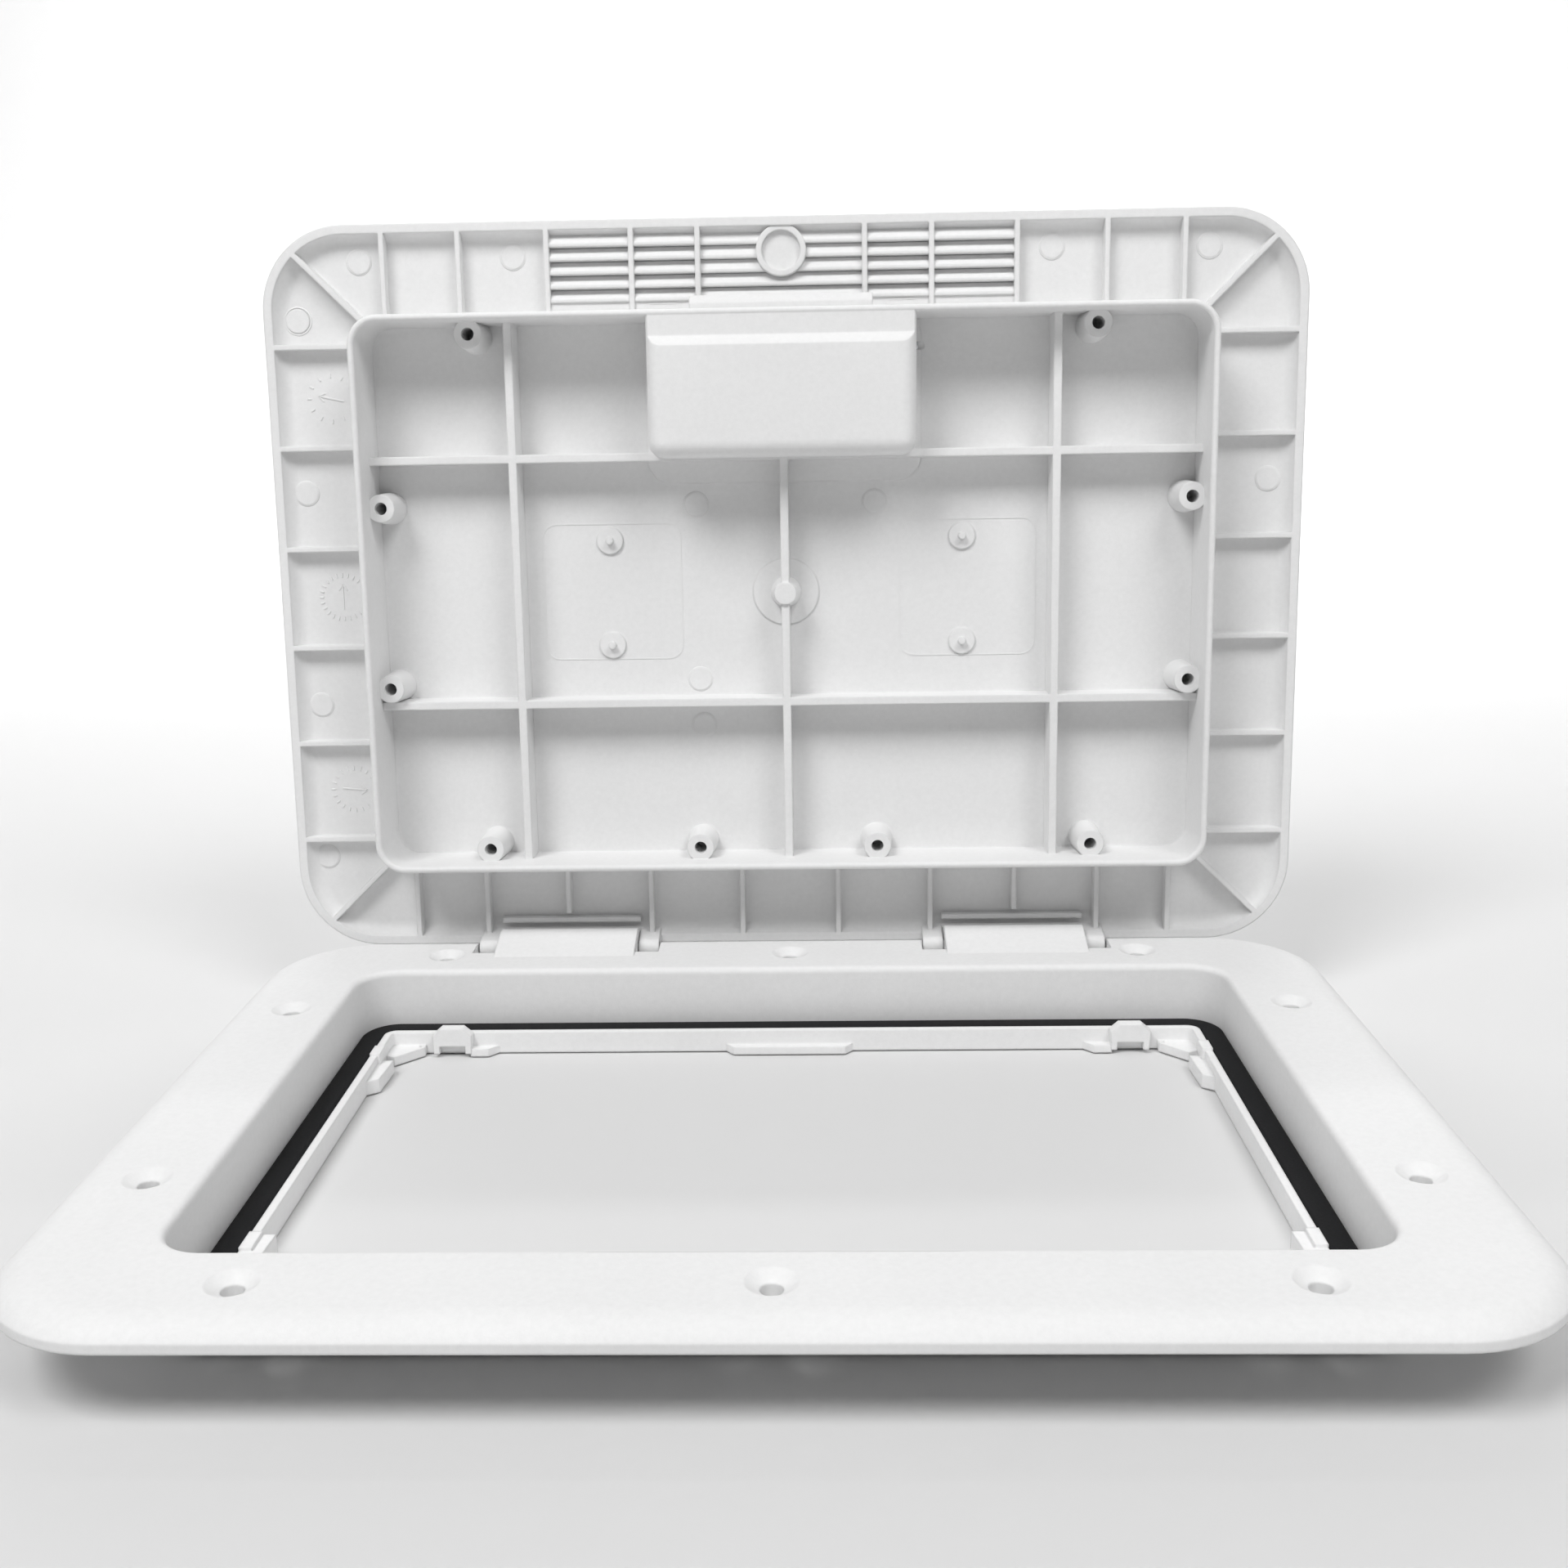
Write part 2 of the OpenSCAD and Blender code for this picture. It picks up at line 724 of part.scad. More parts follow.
module lid_shell() {
    color("WhiteSmoke")
        on_lid()
            difference() {
                union() {
                    lid_skin();
                    tray_walls();
                    tray_ribs();
                    tray_bosses();
                    lip_ribs();
                    vent_panel();
                    mould_marks();
                    cup_box();
                    both_sides() {
                        lid_knuckle(barrel_in - knuckle_gap - knuckle_w);
                        lid_knuckle(barrel_out + knuckle_gap);
                        // wall along the edge of the hinge notch
                        block([barrel_in - 0.5, -9.5, lip_z + 1.55], [barrel_out + 0.5, -7.7, skin_z + 1]);
                    }
                }
                latch_room();
                // clearance round the frame barrels
                both_sides()
                    bar_x(barrel_in - knuckle_gap, barrel_out + knuckle_gap, barrel_r + 1.3);
                both_sides()
                    block([barrel_in - knuckle_gap, -7.7, -2], [barrel_out + knuckle_gap, 2, lip_z + 1.55]);
                // pin bores
                both_sides()
                    bar_x(barrel_in - knuckle_w - 2, barrel_out + knuckle_w + 2, pin_r + snug_gap);
                // screw holes in the bosses
                both_sides()
                    for (p = bosses)
                        translate([p[0], -p[1], skin_z - boss_h - 1])
                            cylinder(d = boss_hole_d, h = boss_h);
            }
}

module hinge_pin() {
    color("Silver")
        translate([0, hinge_y, hinge_z])
            bar_x(barrel_in - knuckle_gap - knuckle_w + 0.4, barrel_out + knuckle_gap + knuckle_w - 0.4, pin_r);
}

module hinge_pin_right() {
    hinge_pin();
}

module hinge_pin_left() {
    mirror([1, 0, 0])
        hinge_pin();
}

// ---------- latch ----------

// Flush handle plate with a finger window, hubs and the arm that draws the bolt.
module latch_handle() {
    mid = -(handle_back + handle_front) / 2;
    color("WhiteSmoke")
        on_lid()
            difference() {
                union() {
                    translate([0, mid, handle_top - handle_t])
                        linear_extrude(handle_t)
                            rounded(2 * handle_half_w, handle_front - handle_back, 5.5);
                    block([-tongue_half_w + 0.5, -handle_nose, handle_top - handle_t],
                          [tongue_half_w - 0.5, -handle_front + 8, handle_top]);
                    translate([0, -handle_axis_v, handle_axis_z])
                        both_sides()
                            bar_x(18, pin_lug_in - 0.4, handle_hub_r);
                    both_sides()
                        block([18, -handle_axis_v - 2.4, handle_axis_z],
                              [pin_lug_in - 0.4, -handle_axis_v + 3, handle_top - 1]);
                    // arm down to the bolt
                    translate([0, -handle_axis_v, handle_axis_z])
                        bar_x(-4, 4, handle_hub_r);
                    block([-4, -handle_axis_v - 2.5, handle_axis_z], [4, -handle_axis_v + 2.5, handle_top - 1]);
                    block([-4, -handle_axis_v - 1.6, bolt_z + 1.4], [4, -handle_axis_v + 1.6, handle_axis_z]);
                    // stiffening rib behind the finger window
                    block([-30, -194.6, handle_top - 5], [30, -192.6, handle_top - 1]);
                }
                translate([0, -181, 0])
                    linear_extrude(30)
                        rounded(56, 15, 6);
                translate([0, -handle_axis_v, handle_axis_z])
                    bar_x(-40, 40, handle_pin_r + run_gap);
                // room for the spring
                translate([0, -handle_axis_v, handle_axis_z])
                    bar_x(5.2, 15.2, handle_hub_r + 0.1);
            }
}

module handle_pin() {
    color("Silver")
        on_lid()
            translate([0, -handle_axis_v, handle_axis_z])
                bar_x(-pin_lug_out + 1, bezel_half_w + 1, handle_pin_r);
}

// Torsion spring: close turns round the handle pin with two straight legs.
module handle_spring() {
    wire = 0.55;
    leg_r = wire - 0.1;
    coil_r = handle_pin_r + 0.9;
    turns = 7;
    pitch = 1.96 * wire;
    x0 = 6.5;
    color("Silver")
        on_lid()
            translate([x0, -handle_axis_v, handle_axis_z]) {
                rotate([0, 90, 0])
                    rotate_extrude()
                        for (i = [0:turns - 1])
                            translate([coil_r, i * pitch])
                                circle(wire);
                translate([0, 1.9, 1.1])
                    rotate([-90, 0, 0])
                        cylinder(r = leg_r, h = 9);
                translate([(turns - 1) * pitch, -1, -coil_r + 0.3])
                    rotate([90, 0, 0])
                        cylinder(r = leg_r, h = 7);
            }
}

// Bolt plate with a slanted nose and the window that the handle arm works in.
module latch_bolt() {
    color("WhiteSmoke")
        on_lid()
            difference() {
                run_x(-bolt_width / 2, bolt_width / 2)
                    polygon([
                        [-bolt_tail, bolt_z], [-bolt_tail, bolt_z + bolt_t], [-bolt_tip, bolt_z + bolt_t],
                        [-bolt_tip, bolt_z + bolt_t - 1.2], [-bolt_tip + 2.6, bolt_z]
                    ]);
                block([-4.4, -handle_axis_v - 2.5, bolt_z - 1], [4.4, -handle_axis_v + 2.5, bolt_z + bolt_t + 1]);
            }
}

// Strip across the bay that keeps the bolt down.
module bolt_guide() {
    color("LightGray")
        on_lid()
            difference() {
                block([-bay_half_w + 0.4, -199, guide_z], [bay_half_w - 0.4, -191.5, guide_z + guide_t]);
                both_sides()
                    translate([guide_screw_x, -guide_screw_v, guide_z - 1])
                        cylinder(d = 3, h = 10);
            }
}

module guide_screws() {
    color("Silver")
        on_lid()
            both_sides()
                translate([guide_screw_x, -guide_screw_v, 0])
                    difference() {
                        union() {
                            translate([0, 0, guide_z - 5.6])
                                cylinder(r = 1.1, h = guide_t + 6.6);
                            translate([0, 0, guide_z + guide_t])
                                cylinder(r = 2.6, h = 1.8);
                        }
                        translate([0, 0, guide_z + guide_t + 0.8])
                            for (a = [0, 90])
                                rotate(a)
                                    translate([-1.6, -0.35, 0])
                                        cube([3.2, 0.7, 2]);
                    }
}

deck_frame();
retaining_ring();
gasket();
lid_shell();
hinge_pin_left();
hinge_pin_right();
latch_handle();
handle_pin();
handle_spring();
latch_bolt();
bolt_guide();
guide_screws();
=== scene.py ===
import json
import math

import bmesh
import bpy
from mathutils import Matrix, Vector


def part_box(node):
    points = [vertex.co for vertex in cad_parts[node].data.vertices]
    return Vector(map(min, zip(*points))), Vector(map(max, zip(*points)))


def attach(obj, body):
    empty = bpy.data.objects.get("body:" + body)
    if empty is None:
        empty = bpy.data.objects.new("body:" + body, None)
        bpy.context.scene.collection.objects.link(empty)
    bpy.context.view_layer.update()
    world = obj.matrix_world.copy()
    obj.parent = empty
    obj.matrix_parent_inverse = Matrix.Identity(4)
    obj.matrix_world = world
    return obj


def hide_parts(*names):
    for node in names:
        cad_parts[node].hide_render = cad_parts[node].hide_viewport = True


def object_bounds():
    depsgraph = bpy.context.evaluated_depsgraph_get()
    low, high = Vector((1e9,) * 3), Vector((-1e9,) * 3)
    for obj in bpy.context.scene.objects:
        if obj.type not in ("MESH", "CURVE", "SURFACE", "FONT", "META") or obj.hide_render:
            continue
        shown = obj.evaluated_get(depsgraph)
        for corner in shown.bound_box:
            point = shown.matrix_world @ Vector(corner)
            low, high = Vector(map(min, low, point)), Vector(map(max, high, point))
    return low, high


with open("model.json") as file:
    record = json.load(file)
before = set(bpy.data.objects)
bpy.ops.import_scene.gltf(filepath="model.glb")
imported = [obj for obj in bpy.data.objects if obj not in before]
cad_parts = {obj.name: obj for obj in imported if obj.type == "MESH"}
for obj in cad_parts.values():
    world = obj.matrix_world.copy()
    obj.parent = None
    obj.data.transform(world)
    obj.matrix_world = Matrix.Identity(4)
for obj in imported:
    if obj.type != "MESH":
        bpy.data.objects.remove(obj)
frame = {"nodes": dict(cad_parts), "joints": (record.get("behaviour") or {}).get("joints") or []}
cad_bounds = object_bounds()

bl_info = {
    "name": "Deck Hatch",
    "version": (1, 0, 0),
    "blender": (4, 5, 0),
    "location": "View3D > Sidebar > Deck Hatch",
    "description": "Finishes a moulded deck hatch: plastics, rubber seal, mould marks and studio",
    "category": "Add Mesh",
}

MM = 0.001


# ---------- places taken from the frame ----------


def joint(name):
    """The frame's joint of that name."""
    return next(j for j in frame["joints"] if j["name"] == name)


HINGE = joint("lid_hinge")
OPEN_ANGLE = math.radians(HINGE["range_deg"][1])
LID = Matrix.Translation(HINGE["pos_m"]) @ Matrix.Rotation(-OPEN_ANGLE, 4, "X")
TRAY_FLOOR = 8.55 * MM
FOOT_STRIP = 4.95 * MM
TREAD_FROM = 12.1 * MM
MARK_SUNK = 0.03 * MM

# Screw bosses of the lid on one side: distance from the middle and from the hinge, in mm.
BOSSES = ((103.9, 211.2), (136, 154.7), (136, 93.5), (104, 37), (30.7, 37))
SLEEVE_FOOT = 5.45 * MM
SLEEVE_TOP = 4.75 * MM
SLEEVE_HEIGHT = 14.55 * MM
SLEEVE_HOLE = 2.12 * MM
SLEEVE_RIM = 0.35 * MM

# Ejector marks: distance across and from the hinge in mm, and scale.
EJECTORS = (
    (-164.4, 217.8, 1.1), (-165, 160.2, 1), (-164.4, 86.8, 1), (-165.6, 32.1, 1),
    (-142.4, 236.6, 1), (-90.2, 237.3, 1), (90.2, 237.3, 1), (142.4, 236.6, 1), (164.2, 160.2, 1),
    (-30.6, 154.5, 1), (30.6, 154.5, 1), (-30.4, 94.3, 1), (-29.4, 78.1, 1),
)

# Studio: how much weaker the right light is, where the lights stand and the camera's shift.
RIGHT_TO_LEFT = 0.66
KEY_LEFT_PLACE = (-0.65, -0.8, 1.5)
KEY_RIGHT_PLACE = (0.7, -0.8, 1.5)
KEY_SIZE = 0.8
BACKDROP_PLACE = (0, 1.6, 2.6)
BACKDROP_TARGET = (0, 4.5, 0.6)
BACKDROP_SIZE = 2.5
CAMERA_SHIFT = (0.0039, 0.0045)


def on_tray_floor(across, from_hinge, sunk=MARK_SUNK):
    """Places a mark drawn flat at the origin on the inside of the lid skin, facing out of the tray."""
    spot = Matrix.Translation((across, -from_hinge, TRAY_FLOOR + sunk))
    return LID @ spot @ Matrix.Rotation(math.pi, 4, "X")


# ---------- settings a user would change ----------


class HatchFinish(bpy.types.PropertyGroup):
    frame_colour: bpy.props.FloatVectorProperty(
        name="Frame colour", description="Colour of the frame's plastic",
        default=(0.86, 0.86, 0.86), size=3, min=0, max=1, subtype="COLOR")
    lid_colour: bpy.props.FloatVectorProperty(
        name="Lid colour", description="Colour of the lid's plastic",
        default=(0.84, 0.84, 0.84), size=3, min=0, max=1, subtype="COLOR")
    ring_colour: bpy.props.FloatVectorProperty(
        name="Ring colour", description="Colour of the retaining ring's smoother plastic",
        default=(0.9, 0.9, 0.9), size=3, min=0, max=1, subtype="COLOR")
    rubber_colour: bpy.props.FloatVectorProperty(
        name="Rubber colour", description="Colour of the seal",
        default=(0.012, 0.012, 0.013), size=3, min=0, max=1, subtype="COLOR")
    steel_colour: bpy.props.FloatVectorProperty(
        name="Steel colour", description="Colour of the pins, the spring and the small screws",
        default=(0.6, 0.61, 0.62), size=3, min=0, max=1, subtype="COLOR")
    grain: bpy.props.FloatProperty(
        name="Grain size", description="Size of one grain of the moulded texture",
        default=0.6 * MM, min=0.1 * MM, max=2 * MM, precision=5, unit="LENGTH")
    soft_edge: bpy.props.FloatProperty(
        name="Soft edge", description="Radius that edges and inner corners of the plastic seem to have",
        default=0.9 * MM, min=0.1 * MM, max=2 * MM, precision=5, unit="LENGTH")
    wear: bpy.props.FloatProperty(
        name="Wear", description="How much the rubbed edges differ from the faces",
        default=0.5, min=0, max=1, subtype="FACTOR")


class HatchMarks(bpy.types.PropertyGroup):
    line: bpy.props.FloatProperty(
        name="Line width", description="Width of a raised mould line",
        default=0.55 * MM, min=0.1 * MM, max=1 * MM, precision=5, unit="LENGTH")
    height: bpy.props.FloatProperty(
        name="Line height", description="How far a mould mark stands above the plastic",
        default=0.3 * MM, min=0.05 * MM, max=0.5 * MM, precision=5, unit="LENGTH")
    dial_radius: bpy.props.FloatProperty(
        name="Dial radius", description="Radius of a mould dial",
        default=7.6 * MM, min=4 * MM, max=10 * MM, precision=5, unit="LENGTH")
    ejector_radius: bpy.props.FloatProperty(
        name="Ejector radius", description="Radius of an ejector mark",
        default=4.1 * MM, min=2 * MM, max=6 * MM, precision=5, unit="LENGTH")
    panel_corner: bpy.props.FloatProperty(
        name="Panel corner", description="Corner radius of the faint panels on the tray floor",
        default=5 * MM, min=1 * MM, max=12 * MM, precision=5, unit="LENGTH")


class HatchSeal(bpy.types.PropertyGroup):
    corner: bpy.props.FloatProperty(
        name="Corner radius", description="Outer corner radius of the seal",
        default=11.6 * MM, min=9 * MM, max=20 * MM, precision=5, unit="LENGTH")
    width: bpy.props.FloatProperty(
        name="Width", description="Width of the rubber strip",
        default=7.6 * MM, min=4 * MM, max=7.6 * MM, precision=5, unit="LENGTH")
    round_over: bpy.props.FloatProperty(
        name="Round-over", description="Radius of the strip's top edges",
        default=1.3 * MM, min=0.2 * MM, max=2 * MM, precision=5, unit="LENGTH")


class HatchStudio(bpy.types.PropertyGroup):
    floor_colour: bpy.props.FloatVectorProperty(
        name="Floor colour", description="Colour of the floor and the sweep behind",
        default=(0.78, 0.78, 0.78), size=3, min=0, max=1, subtype="COLOR")
    floor_glow: bpy.props.FloatProperty(
        name="Floor glow", description="Light that the floor gives off by itself",
        default=0.0, min=0, max=2)
    key_power: bpy.props.FloatProperty(
        name="Key power", description="Power of the left front light, the stronger of the two",
        default=17.5, min=0, max=100, unit="POWER")
    backdrop_power: bpy.props.FloatProperty(
        name="Backdrop power", description="Power of the light that is turned on the sweep behind",
        default=150, min=0, max=500, unit="POWER")
    sky: bpy.props.FloatProperty(
        name="Sky", description="Strength of the even light from all round",
        default=0.015, min=0, max=2)
    lens: bpy.props.FloatProperty(
        name="Lens", description="Focal length of the camera",
        default=38.448, min=10, max=200, unit="CAMERA")
    camera_place: bpy.props.FloatVectorProperty(
        name="Camera place", description="Where the camera stands",
        default=(0.0131, -0.4404, 0.1969), size=3, precision=4, subtype="TRANSLATION", unit="LENGTH")
    camera_turn: bpy.props.FloatVectorProperty(
        name="Camera turn", description="How the camera is turned, about x, y and z",
        default=(math.radians(76.407), math.radians(0.996), math.radians(1.458)), size=3, subtype="EULER")


SETTINGS = {
    "hatch_finish": HatchFinish,
    "hatch_marks": HatchMarks,
    "hatch_seal": HatchSeal,
    "hatch_studio": HatchStudio,
}


# ---------- materials ----------


def node(tree, kind, **values):
    """Adds a node and sets its plain properties and its sockets' constant values."""
    made = tree.nodes.new(kind)
    for name, value in values.items():
        if hasattr(made, name):
            setattr(made, name, value)
        else:
            made.inputs[name.replace("_", " ").title()].default_value = value
    return made


def link(tree, source, target):
    tree.links.new(source, target)


def tint(colour, factor):
    """The colour made lighter or darker."""
    return tuple(min(1, c * factor) for c in colour) + (1,)


def new_material(name):
    material = bpy.data.materials.new(name)
    material.use_nodes = True
    return material, material.node_tree, material.node_tree.nodes["Principled BSDF"]


def moulded_plastic(name, colour, grain_depth, roughness, tread=False):
    """Matte moulded plastic: spark grain, faint flow shading, softened and slightly rubbed edges."""
    finish = bpy.context.scene.hatch_finish
    material, tree, shader = new_material(name)
    shader.inputs["IOR"].default_value = 1.49
    shader.inputs["Specular IOR Level"].default_value = 0.42
    place = node(tree, "ShaderNodeTexCoord").outputs["Object"]

    flow = node(tree, "ShaderNodeTexNoise", scale=9, detail=3, roughness=0.55)
    link(tree, place, flow.inputs["Vector"])
    body = node(tree, "ShaderNodeValToRGB")
    body.color_ramp.elements[0].position = 0.3
    body.color_ramp.elements[0].color = tint(colour, 0.965)
    body.color_ramp.elements[1].position = 0.7
    body.color_ramp.elements[1].color = tint(colour, 1.015)
    link(tree, flow.outputs["Fac"], body.inputs["Fac"])

    specks = node(tree, "ShaderNodeTexNoise", scale=0.35 / finish.grain, detail=4, roughness=0.7)
    link(tree, place, specks.inputs["Vector"])
    fleck = node(tree, "ShaderNodeMapRange")
    fleck.inputs["From Min"].default_value = 0.3
    fleck.inputs["From Max"].default_value = 0.7
    fleck.inputs["To Min"].default_value = 0.972
    fleck.inputs["To Max"].default_value = 1.02
    link(tree, specks.outputs["Fac"], fleck.inputs["Value"])
    mottled = node(tree, "ShaderNodeMix", data_type="RGBA", blend_type="MULTIPLY")
    mottled.inputs["Factor"].default_value = 1
    link(tree, body.outputs["Color"], mottled.inputs["A"])
    link(tree, fleck.outputs["Result"], mottled.inputs["B"])

    soft = node(tree, "ShaderNodeBevel", samples=6)
    soft.inputs["Radius"].default_value = finish.soft_edge
    faces = node(tree, "ShaderNodeNewGeometry")
    same = node(tree, "ShaderNodeVectorMath", operation="DOT_PRODUCT")
    link(tree, soft.outputs["Normal"], same.inputs[0])
    link(tree, faces.outputs["Normal"], same.inputs[1])
    edge = node(tree, "ShaderNodeMapRange")
    edge.inputs["From Min"].default_value = 0.995
    edge.inputs["From Max"].default_value = 0.8
    edge.inputs["To Max"].default_value = finish.wear
    link(tree, same.outputs["Value"], edge.inputs["Value"])
    patchy = node(tree, "ShaderNodeTexNoise", scale=60, detail=5, roughness=0.65)
    link(tree, place, patchy.inputs["Vector"])
    rubbed = node(tree, "ShaderNodeMath", operation="MULTIPLY", use_clamp=True)
    link(tree, edge.outputs["Result"], rubbed.inputs[0])
    link(tree, patchy.outputs["Fac"], rubbed.inputs[1])
    worn = node(tree, "ShaderNodeMix", data_type="RGBA")
    worn.inputs["B"].default_value = tint(colour, 1.07)
    link(tree, rubbed.outputs["Value"], worn.inputs["Factor"])
    link(tree, mottled.outputs["Result"], worn.inputs["A"])
    link(tree, worn.outputs["Result"], shader.inputs["Base Color"])

    sheen = node(tree, "ShaderNodeMapRange")
    sheen.inputs["To Min"].default_value = roughness + 0.05
    sheen.inputs["To Max"].default_value = roughness - 0.1
    link(tree, rubbed.outputs["Value"], sheen.inputs["Value"])
    uneven = node(tree, "ShaderNodeMath", operation="MULTIPLY_ADD")
    uneven.inputs[1].default_value = 0.12
    link(tree, specks.outputs["Fac"], uneven.inputs[0])
    link(tree, sheen.outputs["Result"], uneven.inputs[2])
    link(tree, uneven.outputs["Value"], shader.inputs["Roughness"])

    grain = node(tree, "ShaderNodeTexNoise", scale=1 / finish.grain, detail=3, roughness=0.6)
    link(tree, place, grain.inputs["Vector"])
    bump = node(tree, "ShaderNodeBump", strength=1, distance=grain_depth)
    link(tree, grain.outputs["Fac"], bump.inputs["Height"])
    link(tree, soft.outputs["Normal"], bump.inputs["Normal"])
    top = bump
    if tread:
        top = tread_grip(tree, place, bump)
    link(tree, top.outputs["Normal"], shader.inputs["Normal"])
    return material


def tread_grip(tree, place, under):
    """Coarse grip grains on the raised panel outside the lid only."""
    to_lid = node(tree, "ShaderNodeMapping", vector_type="TEXTURE")
    to_lid.inputs["Location"].default_value = LID.to_translation()
    to_lid.inputs["Rotation"].default_value = LID.to_euler()
    link(tree, place, to_lid.inputs["Vector"])
    height = node(tree, "ShaderNodeSeparateXYZ")
    link(tree, to_lid.outputs["Vector"], height.inputs["Vector"])
    panel = node(tree, "ShaderNodeMath", operation="GREATER_THAN")
    panel.inputs[1].default_value = TREAD_FROM
    link(tree, height.outputs["Z"], panel.inputs[0])
    grains = node(tree, "ShaderNodeTexVoronoi", feature="F1")
    grains.inputs["Scale"].default_value = 620
    link(tree, place, grains.inputs["Vector"])
    stones = node(tree, "ShaderNodeMapRange", interpolation_type="SMOOTHSTEP")
    stones.inputs["From Min"].default_value = 0.55
    stones.inputs["From Max"].default_value = 0.2
    link(tree, grains.outputs["Distance"], stones.inputs["Value"])
    only = node(tree, "ShaderNodeMath", operation="MULTIPLY")
    link(tree, stones.outputs["Result"], only.inputs[0])
    link(tree, panel.outputs["Value"], only.inputs[1])
    bump = node(tree, "ShaderNodeBump", strength=0.9, distance=0.25 * MM)
    link(tree, only.outputs["Value"], bump.inputs["Height"])
    link(tree, under.outputs["Normal"], bump.inputs["Normal"])
    return bump


def black_rubber(name, colour):
    """Dull closed-cell rubber with fine pores and a little pale dust."""
    material, tree, shader = new_material(name)
    shader.inputs["IOR"].default_value = 1.5
    shader.inputs["Specular IOR Level"].default_value = 0.22
    place = node(tree, "ShaderNodeTexCoord").outputs["Object"]
    dust = node(tree, "ShaderNodeTexVoronoi", feature="F1")
    dust.inputs["Scale"].default_value = 160
    link(tree, place, dust.inputs["Vector"])
    dot = node(tree, "ShaderNodeMapRange")
    dot.inputs["From Min"].default_value = 0.075
    dot.inputs["From Max"].default_value = 0.05
    link(tree, dust.outputs["Distance"], dot.inputs["Value"])
    few = node(tree, "ShaderNodeTexNoise", scale=45, detail=2, roughness=0.6)
    link(tree, place, few.inputs["Vector"])
    where = node(tree, "ShaderNodeMapRange")
    where.inputs["From Min"].default_value = 0.55
    where.inputs["From Max"].default_value = 0.7
    where.inputs["To Max"].default_value = 0.5
    link(tree, few.outputs["Fac"], where.inputs["Value"])
    seen = node(tree, "ShaderNodeMath", operation="MULTIPLY", use_clamp=True)
    link(tree, dot.outputs["Result"], seen.inputs[0])
    link(tree, where.outputs["Result"], seen.inputs[1])
    dusty = node(tree, "ShaderNodeMix", data_type="RGBA")
    dusty.inputs["A"].default_value = tint(colour, 1)
    dusty.inputs["B"].default_value = (0.5, 0.5, 0.48, 1)
    link(tree, seen.outputs["Value"], dusty.inputs["Factor"])
    link(tree, dusty.outputs["Result"], shader.inputs["Base Color"])
    pores = node(tree, "ShaderNodeTexNoise", scale=1500, detail=4, roughness=0.7)
    link(tree, place, pores.inputs["Vector"])
    dull = node(tree, "ShaderNodeMapRange")
    dull.inputs["To Min"].default_value = 0.7
    dull.inputs["To Max"].default_value = 0.95
    link(tree, pores.outputs["Fac"], dull.inputs["Value"])
    link(tree, dull.outputs["Result"], shader.inputs["Roughness"])
    bump = node(tree, "ShaderNodeBump", strength=0.6, distance=0.06 * MM)
    link(tree, pores.outputs["Fac"], bump.inputs["Height"])
    link(tree, bump.outputs["Normal"], shader.inputs["Normal"])
    return material


def drawn_steel(name, colour):
    """Stainless wire and rod: fine drawing lines along x and faint stains."""
    material, tree, shader = new_material(name)
    shader.inputs["Metallic"].default_value = 1
    place = node(tree, "ShaderNodeTexCoord").outputs["Object"]
    along = node(tree, "ShaderNodeMapping")
    along.inputs["Scale"].default_value = (60, 3000, 3000)
    link(tree, place, along.inputs["Vector"])
    lines = node(tree, "ShaderNodeTexNoise", scale=1, detail=3, roughness=0.6)
    link(tree, along.outputs["Vector"], lines.inputs["Vector"])
    stain = node(tree, "ShaderNodeTexNoise", scale=220, detail=3, roughness=0.6)
    link(tree, place, stain.inputs["Vector"])
    shade = node(tree, "ShaderNodeValToRGB")
    shade.color_ramp.elements[0].color = tint(colour, 0.8)
    shade.color_ramp.elements[1].color = tint(colour, 1.15)
    link(tree, stain.outputs["Fac"], shade.inputs["Fac"])
    link(tree, shade.outputs["Color"], shader.inputs["Base Color"])
    dull = node(tree, "ShaderNodeMapRange")
    dull.inputs["To Min"].default_value = 0.2
    dull.inputs["To Max"].default_value = 0.45
    link(tree, lines.outputs["Fac"], dull.inputs["Value"])
    link(tree, dull.outputs["Result"], shader.inputs["Roughness"])
    bump = node(tree, "ShaderNodeBump", strength=0.4, distance=0.01 * MM)
    link(tree, lines.outputs["Fac"], bump.inputs["Height"])
    link(tree, bump.outputs["Normal"], shader.inputs["Normal"])
    return material


def dress(node_name, material):
    """Gives a CAD node its finish."""
    for slot in frame["nodes"][node_name].material_slots:
        slot.material = material


def finish_of(name):
    """A finish made by an earlier operator."""
    material = bpy.data.materials.get(name)
    if material is None:
        raise RuntimeError("make the finish " + name + " first")
    return material


# ---------- modelling helpers ----------


def deselect_all():
    bpy.ops.object.select_all(action="DESELECT")


def select_faces(piece, wanted):
    """In edit mode: selects the faces that pass the test, and nothing else."""
    mesh = bmesh.from_edit_mesh(piece.data)
    bpy.ops.mesh.select_mode(type="FACE")
    for face in mesh.faces:
        face.select_set(bool(wanted(face)))
    mesh.select_flush_mode()
    bmesh.update_edit_mesh(piece.data)


def settle(piece, name, body, material, place=None):
    """Applies the place to the mesh, names the piece and lets it ride on its body."""
    if place is not None:
        piece.matrix_world = place @ piece.matrix_world
    deselect_all()
    piece.select_set(True)
    bpy.context.view_layer.objects.active = piece
    bpy.ops.object.transform_apply(location=True, rotation=True, scale=True)
    piece.name = name
    piece.data.name = name
    piece.data.materials.clear()
    piece.data.materials.append(material)
    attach(piece, body)
    return piece


def copy_to(piece, place):
    """A copy with its own mesh, moved by the matrix."""
    twin = piece.copy()
    twin.data = piece.data.copy()
    twin.matrix_world = place @ piece.matrix_world
    bpy.context.collection.objects.link(twin)
    return twin


